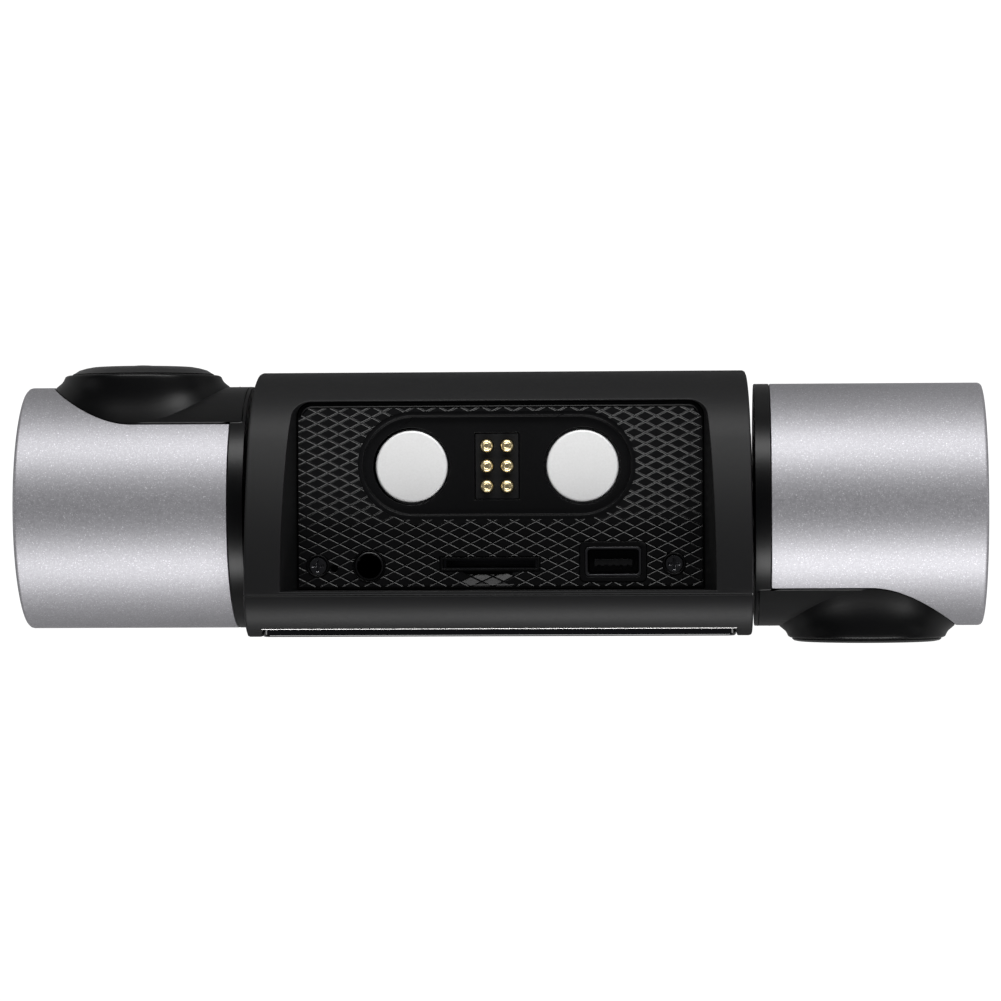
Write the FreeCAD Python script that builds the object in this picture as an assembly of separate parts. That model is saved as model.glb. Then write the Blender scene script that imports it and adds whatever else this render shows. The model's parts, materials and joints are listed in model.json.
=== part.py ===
"""Bar-shaped dash camera: a boxy middle with a screen behind, and a turning camera drum at each end.

Everything is drawn about the drums' common axis: X along the bar, +Y towards the road, +Z towards
the mounting face.  write() then shifts it, so that the origin is under the middle of the body.
"""
import FreeCAD, Part
import math
import os

V = FreeCAD.Vector

# Place of the drums' axis in the finished part
AXIS_Y = -0.4
AXIS_Z = 16.5

# Middle body, section across the bar
TOP_Z = 17.7
BOTTOM_Z = -16.5
SEAM_Y = -10.95
REAR_Y = -16.1
CROWN_R = 51.4
CROWN_TURN = 22.0
NOSE_R = 14.0
CHIN_R = 13.0
REAR_R = 5.7
WALL = 1.8
END_TOP = 31.45
END_BOTTOM = 29.9
END_BEVEL = 0.4
CAVITY_X = 28.6

# Recess for the bracket, and the panel at its floor
FLOOR_Z = 10.2
FLOOR_X = 25.5
FLOOR_FRONT = 13.1
FLOOR_REAR = -10.45
RECESS_DRAFT = 10.5
RECESS_R = 2.0
TUB_WALL = 1.5
PANEL_T = 2.4
PANEL_GAP = 0.15
LEDGE_T = 1.2
THROAT_X = (-21.3, 20.6)
LAND = 0.3
BRACKET_X = -0.4
POCKET_Y = 5.1
POCKET_L = 34.3
POCKET_W = 13.1
POCKET_DEPTH = 1.0
CONTACT_Y = 5.0
CONTACT_PITCH = 2.54
CONTACT_W = 5.6
CONTACT_L = 8.4
PIN_R = 0.8
PIN_TIP_Z = 9.9
PIN_TRAVEL = 0.8
MAGNET_X = 10.7
MAGNET_R = 4.5
MAGNET_BORE_R = 4.85
MAGNET_T = 3.0
SCREW_AT = [(-22.85, -7.4), (21.7, -7.3)]
SCREW_HEAD_R = 1.15
SCREW_R = 0.7
RESET_AT = (-20.8, -7.8)
RESET_R = 0.4
JACK_AT = (-16.4, -7.45)
JACK_R = 1.3
JACK_RING_R = 1.9
JACK_DEPTH = 9.0
CARD_AT = (-1.3, -7.25)
CARD_L = 11.8
CARD_W = 1.1
CARD_DEPTH = 12.6
USB_AT = (14.1, -7.0)
USB_L = 7.1
USB_W = 3.8
USB_WALL = 0.35
USB_DEPTH = 7.2

# Screen
GLASS_X = 29.3
GLASS_Z = (-14.7, 15.9)
GLASS_T = 1.1
GLASS_R = 1.2
LCD_X = 25.0
LCD_Z = (-13.4, 14.2)
COVER_SCREW_X = 26.6
COVER_SCREW_Z = -11.6

# Keys on the underside
KEY_AT = [-18.0, -6.0, 6.0, 18.0]
KEY_Y = -4.5
KEY_L = 8.0
KEY_W = 3.0
KEY_GAP = 0.1
KEY_SINK = 0.1
SPEAKER_AT = (-22.3, 2.2)
SPEAKER_R = 4.0
MICROPHONE_AT = (25.0, 1.5)

# Camera drums, drawn at the +X end with the lens facing -Y
DRUM_R = 15.35
RING_X = 31.75
SLEEVE_X = 33.7
END_X = 60.5
LENS_X = 46.0
SLEEVE_WALL = 1.1
LINER_R = 14.2
LINER_WALL = 1.3
WINDOW_R = 11.2
BOSS_R = 11.1
SHOULDER_R = 9.8
SHOULDER_Y = 16.85
FRONT_Y = {"left": 18.2, "right": 17.4}
BARREL_R = 7.0
TUNNEL_R = 9.4
PIVOT_R = 5.0
PIVOT_BORE_R = 3.4
PIVOT_COLLAR_R = 9.1
PIVOT_FIT = 0.05
BUSH_R = 6.0
BUSH_FLANGE_R = 6.3
PIVOT_END_X = 26.0


def box(x0, x1, y0, y1, z0, z1):
    return Part.makeBox(x1 - x0, y1 - y0, z1 - z0, V(x0, y0, z0))


def rod_x(radius, x0, x1, y=0.0, z=0.0):
    return Part.makeCylinder(radius, x1 - x0, V(x0, y, z), V(1, 0, 0))


def rod_y(radius, y0, y1, x, z=0.0):
    return Part.makeCylinder(radius, y1 - y0, V(x, y0, z), V(0, 1, 0))


def rod_z(radius, z0, z1, x, y):
    return Part.makeCylinder(radius, z1 - z0, V(x, y, z0), V(0, 0, 1))


def fuse(first, *others):
    return first.multiFuse(list(others)).removeSplitter()


def cut(shape, *tools):
    for tool in tools:
        shape = shape.cut(tool)
    return shape


def arc(centre_y, centre_z, radius, turn_from, turn_to):
    """Arc in the YZ plane; turns are measured from +Z towards +Y, in degrees."""
    def point(turn):
        a = math.radians(turn)
        return V(0, centre_y + radius * math.sin(a), centre_z + radius * math.cos(a))
    return Part.Arc(point(turn_from), point((turn_from + turn_to) / 2), point(turn_to)).toShape()


def joined(edges):
    """Close a loop: straight edges are put between the ends of the given arcs, in order."""
    loop = []
    for here, after in zip(edges, edges[1:] + edges[:1]):
        loop.append(here)
        start = here.lastVertex(True).Point
        end = after.firstVertex(True).Point
        if start.distanceToPoint(end) > 1e-6:
            loop.append(Part.makeLine(start, end))
    return Part.Face(Part.Wire(Part.__sortEdges__(loop)))


def rounded_plate(x0, x1, z0, z1, y0, y1, radius):
    """Plate across Y with four round corners."""
    plate = box(x0, x1, y0, y1, z0, z1)
    upright = [e for e in plate.Edges if abs(e.tangentAt(e.FirstParameter).y) > 0.99]
    return plate.makeFillet(radius, upright)


def stadium(length, width, z0, z1, x, y):
    radius = width / 2
    half = length / 2 - radius
    return fuse(box(x - half, x + half, y - radius, y + radius, z0, z1),
                rod_z(radius, z0, z1, x - half, y), rod_z(radius, z0, z1, x + half, y))


# ---- middle body ----------------------------------------------------------------------------

def front_section(inset=0.0):
    """Section of the housing in front of the seam, shrunk by inset."""
    crown_z = TOP_Z - CROWN_R
    turn = math.radians(CROWN_TURN)
    nose_y = SEAM_Y + (CROWN_R - NOSE_R) * math.sin(turn)
    nose_z = crown_z + (CROWN_R - NOSE_R) * math.cos(turn)
    crown = arc(SEAM_Y, crown_z, CROWN_R - inset, 0, CROWN_TURN)
    nose = arc(nose_y, nose_z, NOSE_R - inset, CROWN_TURN, 90)
    chin_y = nose_y + NOSE_R - CHIN_R
    chin = arc(chin_y, BOTTOM_Z + CHIN_R, CHIN_R - inset, 90, 180)
    sill = Part.makeLine(V(0, SEAM_Y + 1, BOTTOM_Z + inset), V(0, SEAM_Y, BOTTOM_Z + inset))
    return joined([crown, nose, chin, sill])


def rear_section(inset=0.0):
    """Section of the cover behind the seam, shrunk by inset."""
    radius = REAR_R - inset
    rear = REAR_Y + inset
    reach = math.degrees(math.asin((SEAM_Y - rear) / radius)) if SEAM_Y - rear < radius else 90.0
    upper = arc(SEAM_Y, TOP_Z - REAR_R, radius, -reach, 0)
    lower = arc(SEAM_Y, BOTTOM_Z + REAR_R, radius, 180, 180 + reach)
    return joined([upper, lower])


def between_ends(section):
    """The section as a bar, trimmed to the leaning ends of the body."""
    bar = section.extrude(V(80, 0, 0))
    bar.translate(V(-40, 0, 0))
    corners = [V(-END_TOP, -40, TOP_Z), V(END_TOP, -40, TOP_Z),
               V(END_BOTTOM, -40, BOTTOM_Z), V(-END_BOTTOM, -40, BOTTOM_Z)]
    wedge = Part.Face(Part.makePolygon(corners + corners[:1])).extrude(V(0, 80, 0))
    body = bar.common(wedge)
    rims = []
    for face in body.Faces:
        if abs(face.normalAt(0, 0).x) > 0.9:
            rims += [e for e in face.OuterWire.Edges if not on_seam(e)]
    return body.makeChamfer(END_BEVEL, rims)


def on_seam(edge):
    box_of = edge.BoundBox
    return box_of.YLength < 1e-3 and abs(box_of.YMin - SEAM_Y) < 1e-3


def recess():
    """Tapered hollow from above down to the panel's floor."""
    high = TOP_Z + 1
    spread = (high - FLOOR_Z) * math.tan(math.radians(RECESS_DRAFT))

    def loop(z, grow):
        x = FLOOR_X + grow
        y = FLOOR_FRONT + grow
        r = RECESS_R
        k = r * (1 - math.sqrt(0.5))
        right = Part.Arc(V(x, y - r, z), V(x - k, y - k, z), V(x - r, y, z)).toShape()
        left = Part.Arc(V(-x + r, y, z), V(-x + k, y - k, z), V(-x, y - r, z)).toShape()
        lines = [Part.makeLine(V(x, FLOOR_REAR, z), V(x, y - r, z)),
                 right,
                 Part.makeLine(V(x - r, y, z), V(-x + r, y, z)),
                 left,
                 Part.makeLine(V(-x, y - r, z), V(-x, FLOOR_REAR, z)),
                 Part.makeLine(V(-x, FLOOR_REAR, z), V(x, FLOOR_REAR, z))]
        return Part.Wire(lines)

    return Part.makeLoft([loop(FLOOR_Z - 0.05, 0.0), loop(high, spread)], True, True)


def main_housing():
    shell = between_ends(front_section())
    hollow = front_section(WALL).extrude(V(2 * CAVITY_X, 0, 0))
    hollow.translate(V(-CAVITY_X, 0, 0))
    tub = box(-FLOOR_X - TUB_WALL, FLOOR_X + TUB_WALL, SEAM_Y, FLOOR_FRONT + 1.0,
              FLOOR_Z - PANEL_T - LEDGE_T, TOP_Z + 1)
    tub = tub.common(front_section(WALL / 2).extrude(V(80, 0, 0)).translated(V(-40, 0, 0)))
    shell = fuse(shell.cut(hollow), tub)
    seat = box(-FLOOR_X, FLOOR_X, FLOOR_REAR, FLOOR_FRONT, FLOOR_Z - PANEL_T, FLOOR_Z)
    throat = box(*THROAT_X, FLOOR_REAR + LAND, FLOOR_FRONT - 1.6,
                 FLOOR_Z - PANEL_T - LEDGE_T - 1, FLOOR_Z)
    shell = cut(shell, recess(), seat, throat)
    ledge = FLOOR_Z - PANEL_T - LEDGE_T
    for x, y in SCREW_AT:
        shell = fuse(shell, rod_z(1.4, ledge - 2.4, ledge + 0.2, x, y))
        shell = shell.cut(rod_z(SCREW_R + 0.02, ledge - 2.4, FLOOR_Z, x, y))
    for side in (-1, 1):
        collar = rod_x(PIVOT_COLLAR_R, CAVITY_X, RING_X - 0.3)
        bore = rod_x(BUSH_R, CAVITY_X - 1, RING_X)
        post = box(COVER_SCREW_X - 2.2, CAVITY_X + 0.5, SEAM_Y, SEAM_Y + 8, -14.9, COVER_SCREW_Z + 2.2)
        hole = rod_y(0.75, SEAM_Y, SEAM_Y + 7, COVER_SCREW_X, COVER_SCREW_Z)
        if side < 0:
            collar, bore, post, hole = [flipped(s) for s in (collar, bore, post, hole)]
        shell = fuse(shell, collar, post)
        shell = cut(shell, bore, hole)
    for x in KEY_AT:
        shell = shell.cut(box(x - KEY_L / 2 - KEY_GAP, x + KEY_L / 2 + KEY_GAP,
                              KEY_Y - KEY_W / 2 - KEY_GAP, KEY_Y + KEY_W / 2 + KEY_GAP,
                              BOTTOM_Z - 1, BOTTOM_Z + WALL + 0.2))
    for row in range(3):
        y = SPEAKER_AT[1] + 1.6 * (row - 1)
        shell = shell.cut(stadium(6.4, 0.8, BOTTOM_Z - 1, BOTTOM_Z + WALL + 0.2, SPEAKER_AT[0], y))
    shell = shell.cut(rod_z(0.5, BOTTOM_Z - 1, BOTTOM_Z + WALL + 0.2, *MICROPHONE_AT))
    return shell


def flipped(shape):
    """Mirror across the middle of the bar."""
    return shape.mirror(V(0, 0, 0), V(1, 0, 0))


def rear_cover():
    shell = between_ends(rear_section())
    hollow = rear_section(WALL).extrude(V(2 * CAVITY_X, 0, 0)).translated(V(-CAVITY_X, 0, 0))
    bed = rounded_plate(-GLASS_X - 0.1, GLASS_X + 0.1, GLASS_Z[0] - 0.1, GLASS_Z[1] + 0.1,
                        REAR_Y - 1, REAR_Y + GLASS_T, GLASS_R)
    view = box(1 - LCD_X, LCD_X - 1, REAR_Y, SEAM_Y, LCD_Z[0] + 1, LCD_Z[1] - 1)
    shell = cut(shell, hollow, bed, view)
    for x in (-COVER_SCREW_X, COVER_SCREW_X):
        shell = shell.cut(rod_y(0.75, REAR_Y, SEAM_Y, x, COVER_SCREW_Z))
        shell = shell.cut(rod_y(1.4, REAR_Y, REAR_Y + GLASS_T + 0.9, x, COVER_SCREW_Z))
    return shell


def cover_screws():
    pieces = []
    seat = REAR_Y + GLASS_T + 0.1
    z = COVER_SCREW_Z
    for x in (-COVER_SCREW_X, COVER_SCREW_X):
        head = rod_y(1.3, seat, seat + 0.75, x, z)
        shank = rod_y(0.7, seat, SEAM_Y + 6.5, x, z)
        cross = fuse(box(x - 0.7, x + 0.7, seat, seat + 0.4, z - 0.15, z + 0.15),
                     box(x - 0.15, x + 0.15, seat, seat + 0.4, z - 0.7, z + 0.7))
        pieces.append(fuse(head, shank).cut(cross))
    return Part.makeCompound(pieces)


def screen_glass():
    glass = rounded_plate(-GLASS_X, GLASS_X, GLASS_Z[0], GLASS_Z[1], REAR_Y, REAR_Y + GLASS_T, GLASS_R)
    front = [e for e in glass.Edges if e.BoundBox.YLength < 1e-3 and abs(e.BoundBox.YMin - REAR_Y) < 1e-3]
    return glass.makeChamfer(0.25, front)


def lcd_module():
    return box(-LCD_X, LCD_X, REAR_Y + GLASS_T + 1.75, SEAM_Y - 0.25, LCD_Z[0], LCD_Z[1])


# ---- recess ---------------------------------------------------------------------------------

def socket_holes(z0, z1, spare):
    """Everything the panel is pierced for along its rear edge; spare widens each hole."""
    return [rod_z(JACK_RING_R + spare, z0, z1, *JACK_AT),
            box(CARD_AT[0] - CARD_L / 2 - spare, CARD_AT[0] + CARD_L / 2 + spare,
                CARD_AT[1] - CARD_W / 2 - spare, CARD_AT[1] + CARD_W / 2 + spare, z0, z1),
            box(USB_AT[0] - USB_L / 2 - spare, USB_AT[0] + USB_L / 2 + spare,
                USB_AT[1] - USB_W / 2 - spare, USB_AT[1] + USB_W / 2 + spare, z0, z1),
            rod_z(RESET_R + spare, z0, z1, *RESET_AT)]


def magnet_places():
    return [BRACKET_X - MAGNET_X, BRACKET_X + MAGNET_X]


def contact_well(inset, z0, z1):
    """Room of the contact block, shrunk by inset all round."""
    half_w = CONTACT_W / 2 - inset
    half_l = CONTACT_L / 2 - inset
    return box(BRACKET_X - half_w, BRACKET_X + half_w, CONTACT_Y - half_l, CONTACT_Y + half_l, z0, z1)


def mount_panel():
    gap = PANEL_GAP
    low = FLOOR_Z - PANEL_T
    plate = box(-FLOOR_X + gap, FLOOR_X - gap, FLOOR_REAR + gap, FLOOR_FRONT - gap, low, FLOOR_Z)
    front = [e for e in plate.Edges if e.BoundBox.ZLength > 1 and e.BoundBox.YMin > 0]
    plate = plate.makeFillet(RECESS_R - gap, front)
    plate = plate.cut(stadium(POCKET_L, POCKET_W, FLOOR_Z - POCKET_DEPTH, FLOOR_Z + 1,
                              BRACKET_X, POCKET_Y))
    for x in magnet_places():
        plate = plate.cut(rod_z(MAGNET_BORE_R, low - 1, FLOOR_Z, x, CONTACT_Y))
    plate = plate.cut(contact_well(0.0, low - 1, FLOOR_Z))
    plate = cut(plate, *socket_holes(low - 1, FLOOR_Z + 1, 0.0))
    relief = stadium(5.6, 2.2, FLOOR_Z - 0.6, FLOOR_Z + 1, CARD_AT[0] - 0.2, CARD_AT[1] - 1.65)
    plate = plate.cut(relief)
    for x, y in SCREW_AT:
        plate = cut(plate, rod_z(SCREW_HEAD_R + 0.05, FLOOR_Z - 1.1, FLOOR_Z + 1, x, y),
                    rod_z(SCREW_R + 0.05, low - 1, FLOOR_Z, x, y))
    return plate


def panel_screws():
    pieces = []
    low = FLOOR_Z - PANEL_T - LEDGE_T - 2.0
    for x, y in SCREW_AT:
        head = rod_z(SCREW_HEAD_R, FLOOR_Z - 1.05, FLOOR_Z - 0.25, x, y)
        slot = 0.14
        cross = fuse(box(x - 0.75, x + 0.75, y - slot, y + slot, FLOOR_Z - 0.75, FLOOR_Z),
                     box(x - slot, x + slot, y - 0.75, y + 0.75, FLOOR_Z - 0.75, FLOOR_Z))
        pieces.append(fuse(head, rod_z(SCREW_R, low, FLOOR_Z - 1.0, x, y)).cut(cross))
    return Part.makeCompound(pieces)


def magnets():
    top = FLOOR_Z - POCKET_DEPTH - 0.05
    discs = []
    for x in magnet_places():
        disc = rod_z(MAGNET_R, top - MAGNET_T, top, x, CONTACT_Y)
        discs.append(disc.makeChamfer(0.2, [e for e in disc.Edges if abs(e.BoundBox.ZMin - top) < 1e-6]))
    return Part.makeCompound(discs)


def keeper_plate():
    top = FLOOR_Z - POCKET_DEPTH - 0.05 - MAGNET_T
    plate = stadium(31.0, 9.6, top - 0.9, top, BRACKET_X, CONTACT_Y)
    return plate.cut(contact_well(-0.4, top - 2, top + 1))


def contact_places():
    return [(BRACKET_X + (column - 0.5) * CONTACT_PITCH, CONTACT_Y + (1 - row) * CONTACT_PITCH)
            for row in range(3) for column in range(2)]


def pin_block():
    gap = 0.1
    top = FLOOR_Z - POCKET_DEPTH - 0.2
    block = contact_well(gap, 4.9, top)
    for x, y in contact_places():
        block = block.cut(rod_z(PIN_R + 0.1, 5.4, top + 1, x, y))
    return block


def pogo_pin(x, y):
    shoulder = PIN_TIP_Z - 0.55
    shank = rod_z(PIN_R, 5.4 + PIN_TRAVEL + 0.1, shoulder, x, y)
    return fuse(shank, Part.makeCone(PIN_R, 0.25, PIN_TIP_Z - shoulder, V(x, y, shoulder), V(0, 0, 1)))


def av_jack():
    x, y = JACK_AT
    low = FLOOR_Z - JACK_DEPTH - 0.6
    nose = rod_z(JACK_RING_R - 0.05, FLOOR_Z - PANEL_T - 0.5, FLOOR_Z - 0.05, x, y)
    case = box(x - 2.0, x + 2.6, y - 2.2, y + 2.2, low, FLOOR_Z - PANEL_T - 0.1)
    return fuse(nose, case).cut(rod_z(JACK_R, FLOOR_Z - JACK_DEPTH, FLOOR_Z, x, y))


def card_socket():
    x, y = CARD_AT
    high = FLOOR_Z - PANEL_T - 0.1
    case = box(x - 7.2, x + 7.2, y - 2.6, y + 0.9, high - CARD_DEPTH, high)
    return case.cut(box(x - 5.6, x + 5.6, y - 0.45, y + 0.45, high - CARD_DEPTH + 0.6, high + 1))


def usb_shell():
    x, y = USB_AT
    high = FLOOR_Z - 0.05
    low = high - USB_DEPTH
    outer = box(x - USB_L / 2 + 0.05, x + USB_L / 2 - 0.05, y - USB_W / 2 + 0.05,
                y + USB_W / 2 - 0.05, low, high)
    upright = [e for e in outer.Edges if e.BoundBox.ZLength > 1]
    outer = outer.makeChamfer(0.5, upright)
    grow = USB_WALL
    inner = box(x - USB_L / 2 + grow, x + USB_L / 2 - grow, y - USB_W / 2 + grow,
                y + USB_W / 2 - grow, low + 0.4, high + 1)
    inner = inner.makeChamfer(0.4, [e for e in inner.Edges if e.BoundBox.ZLength > 1])
    return outer.cut(inner)


def usb_tongue():
    x, y = USB_AT
    low = FLOOR_Z - USB_DEPTH + 0.4
    return box(x - 2.4, x + 2.4, y - 0.55, y + 0.35, low, FLOOR_Z - 1.1)


# ---- inside the middle body -----------------------------------------------------------------

def main_board():
    return box(-26.0, 26.0, SEAM_Y + 0.05, SEAM_Y + 1.05, -8.9, 6.2)


def board_chips():
    face = SEAM_Y + 1.1
    return Part.makeCompound([box(9.0, 20.0, face, face + 1.2, -8.4, 1.8),
                              box(-19.0, -10.5, face, face + 1.0, -8.4, -0.6)])


def heat_spreader():
    face = SEAM_Y + 2.35
    return box(8.5, 20.5, face, face + 0.5, -8.6, 2.0)


def battery():
    cell = box(-15.0, 15.0, 1.0, 13.0, -11.5, -6.0)
    return cell.makeFillet(2.0, [e for e in cell.Edges if e.BoundBox.XLength > 20])


def speaker():
    low = BOTTOM_Z + WALL + 0.35
    can = rod_z(SPEAKER_R, low, low + 3.0, *SPEAKER_AT)
    return can.cut(rod_z(SPEAKER_R - 0.8, low - 1, low + 0.6, *SPEAKER_AT))


def microphone():
    return rod_z(2.0, BOTTOM_Z + WALL + 0.05, BOTTOM_Z + WALL + 1.55, *MICROPHONE_AT)


def reset_switch():
    x, y = RESET_AT
    case = box(x - 0.5, x + 2.0, y - 2.0, y + 1.6, 2.6, 5.0)
    return case.cut(rod_z(0.45, 3.4, 6, x + 0.3, y))


def reset_plunger():
    x, y = RESET_AT
    return rod_z(0.38, 3.8, 5.8, x + 0.3, y)


def key(x):
    low = BOTTOM_Z + KEY_SINK
    cap = box(x - KEY_L / 2, x + KEY_L / 2, KEY_Y - KEY_W / 2, KEY_Y + KEY_W / 2, low,
              BOTTOM_Z + WALL + 0.2)
    rim = [e for e in cap.Edges if e.BoundBox.ZLength < 1e-3 and abs(e.BoundBox.ZMin - low) < 1e-3]
    cap = cap.makeChamfer(0.2, rim)
    flange = box(x - KEY_L / 2 - 0.7, x + KEY_L / 2 + 0.7, KEY_Y - KEY_W / 2 - 0.7,
                 KEY_Y + KEY_W / 2 + 0.7, BOTTOM_Z + WALL + 0.05, BOTTOM_Z + WALL + 0.6)
    return fuse(cap, flange)


def key_switches():
    low = BOTTOM_Z + WALL + 0.95
    return Part.makeCompound([rod_z(1.6, low, low + 0.7, x, KEY_Y) for x in KEY_AT])


def key_board():
    low = BOTTOM_Z + WALL + 1.65
    return box(-23.5, 23.5, KEY_Y - 2.6, KEY_Y + 2.2, low, low + 0.8)


def pivot_bushes():
    bush = fuse(rod_x(BUSH_R, CAVITY_X - 0.05, RING_X - 0.35),
                rod_x(BUSH_FLANGE_R, CAVITY_X - 0.8, CAVITY_X))
    bush = bush.cut(rod_x(PIVOT_R + PIVOT_FIT, 0, 40))
    return Part.makeCompound([bush, flipped(bush)])


def friction_washers():
    washer = rod_x(BUSH_FLANGE_R - 0.1, CAVITY_X - 1.35, CAVITY_X - 0.85)
    washer = washer.cut(rod_x(PIVOT_R + 0.1, 0, 40))
    return Part.makeCompound([washer, flipped(washer)])


# ---- camera drums ---------------------------------------------------------------------------

def window(radius, depth):
    """Slot in the drum's side: straight from the inboard end, round about the lens."""
    slot = box(RING_X - 1, LENS_X, -depth, 0, -radius, radius)
    return fuse(slot, rod_y(radius, -depth, 0, LENS_X))


def sleeve():
    cup = rod_x(DRUM_R, SLEEVE_X + 0.05, END_X)
    rim = [e for e in cup.Edges if e.BoundBox.XLength < 1e-3 and abs(e.BoundBox.XMin - END_X) < 1e-3]
    cup = cup.makeChamfer(0.5, rim)
    bore = rod_x(DRUM_R - SLEEVE_WALL, SLEEVE_X - 1, END_X - 1.6)
    return cut(cup, bore, window(WINDOW_R, 30))


def shroud():
    ring = rod_x(DRUM_R, RING_X, SLEEVE_X)
    liner = rod_x(LINER_R, RING_X, END_X - 1.9)
    drum = rod_x(DRUM_R, RING_X, END_X)
    pad = drum.common(window(BOSS_R, 30))
    boss = fuse(rod_y(BOSS_R, -SHOULDER_Y + (BOSS_R - SHOULDER_R), 0, LENS_X),
                Part.makeCone(SHOULDER_R, BOSS_R, BOSS_R - SHOULDER_R, V(LENS_X, -SHOULDER_Y, 0), V(0, 1, 0)))
    inside = rod_x(LINER_R - LINER_WALL, RING_X + 1.5, END_X)
    tunnel = rod_y(TUNNEL_R, -14.5, -0.9, LENS_X)
    solid = cut(fuse(ring, liner, pad, boss.common(box(RING_X, END_X, -30, -5, -14, 14))), inside)
    solid = fuse(solid, tunnel, rod_x(PIVOT_R, PIVOT_END_X, RING_X + 0.5))
    solid = cut(solid, rod_x(PIVOT_BORE_R, 20, RING_X + 2), rod_y(BARREL_R + 0.05, -30, 5, LENS_X))
    groove = rod_x(PIVOT_R + 1, PIVOT_END_X + 0.35, PIVOT_END_X + 1.15)
    groove = groove.cut(rod_x(PIVOT_R - 0.7, 20, 40))
    for x in (LENS_X - 8.2, LENS_X + 8.2):
        solid = solid.cut(rod_y(0.55, -6, 0, x))
    return solid.cut(groove)


def retaining_ring():
    ring = rod_x(BUSH_FLANGE_R - 0.05, PIVOT_END_X + 0.4, PIVOT_END_X + 1.1)
    ring = ring.cut(rod_x(PIVOT_R - 0.65, 20, 40))
    return ring.cut(box(20, 40, -1.2, 1.2, 0, 10))


def turned(points):
    """Solid of revolution about the lens axis; points are (radius, distance in front of the drum axis)."""
    loop = [V(LENS_X + r, -y, 0) for r, y in points]
    face = Part.Face(Part.makePolygon(loop + loop[:1]))
    return face.revolve(V(LENS_X, 0, 0), V(0, 1, 0), 360)


def road_bezel():
    front = FRONT_Y["left"]
    seat = SHOULDER_Y + 0.02
    return turned([(BARREL_R, seat), (8.6, seat), (8.2, 17.35), (6.6, front - 0.3),
                   (6.1, front - 0.3), (5.0, 17.0), (5.0, 16.55), (BARREL_R, 16.55)])


def cabin_bezel():
    front = FRONT_Y["right"]
    seat = SHOULDER_Y + 0.02
    return turned([(BARREL_R, seat), (9.3, seat), (8.9, front - 0.15), (8.3, front - 0.15),
                   (8.3, 16.95), (6.0, 16.95), (6.0, 16.55), (BARREL_R, 16.55)])


def dome(radius, edge_y, top_y, thickness):
    """Convex glass disc about the lens axis."""
    rise = top_y - edge_y
    sphere_r = (radius ** 2 + rise ** 2) / (2 * rise)
    ball = Part.makeSphere(sphere_r, V(LENS_X, -(top_y - sphere_r), 0))
    return ball.common(rod_y(radius, -top_y - 1, -(edge_y - thickness), LENS_X))


def road_lens():
    return dome(4.9, 17.05, FRONT_Y["left"], 1.2)


def cabin_lens():
    return dome(8.2, 17.15, FRONT_Y["right"], 0.15)


def lens_barrel():
    barrel = rod_y(BARREL_R, -16.5, -2.4, LENS_X)
    barrel = cut(barrel, rod_y(5.5, -17, -15.0, LENS_X), rod_y(4.2, -16, -2, LENS_X))
    return fuse(barrel, rod_y(BARREL_R, -3.4, -2.4, LENS_X).cut(rod_y(3.0, -4, -2, LENS_X)))


def rear_element():
    return rod_y(4.15, -7.5, -3.5, LENS_X)


def image_sensor():
    return box(LENS_X - 4.2, LENS_X + 4.2, -1.9, -0.95, -3.6, 3.6)


def camera_board():
    board = box(LENS_X - 10.0, LENS_X + 10.0, -0.85, 0.15, -8.5, 8.5)
    for x in (LENS_X - 8.2, LENS_X + 8.2):
        board = board.cut(rod_y(0.6, -2, 2, x))
    return board


def board_screws():
    pieces = []
    for x in (LENS_X - 8.2, LENS_X + 8.2):
        pieces.append(fuse(rod_y(0.5, -5, 0.25, x), rod_y(1.1, 0.2, 0.9, x)))
    return Part.makeCompound(pieces)


def camera_lead():
    lead = rod_x(1.1, PIVOT_END_X - 4, LENS_X - 6, 2.15)
    plug = box(LENS_X - 6.5, LENS_X - 2.5, 0.2, 3.6, -3.0, 3.0)
    return fuse(lead, plug)


def ir_leds():
    lights = []
    for turn in (45, 135, 225, 315):
        a = math.radians(turn)
        lights.append(rod_y(0.6, -16.8, -15.05, LENS_X + 4.85 * math.cos(a), 4.85 * math.sin(a)))
    return Part.makeCompound(lights)


def drum_pieces(side):
    bezel = road_bezel() if side == "left" else cabin_bezel()
    lens = road_lens() if side == "left" else cabin_lens()
    pieces = {"sleeve": sleeve(), "shroud": shroud(), "lens_bezel": bezel, "lens_glass": lens,
              "lens_barrel": lens_barrel(), "rear_element": rear_element(),
              "image_sensor": image_sensor(), "camera_board": camera_board(),
              "board_screws": board_screws(), "camera_lead": camera_lead(),
              "retaining_ring": retaining_ring()}
    if side == "left":
        for shape in pieces.values():
            shape.rotate(V(0, 0, 0), V(0, 0, 1), 180)
    return {side + "_" + name: shape for name, shape in pieces.items()}


def write(name, shape):
    placed = shape.copy()
    placed.translate(V(0, AXIS_Y, AXIS_Z))
    if not placed.isValid():
        print("not valid:", name)
    placed.exportStep("parts/" + name + ".step")


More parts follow.
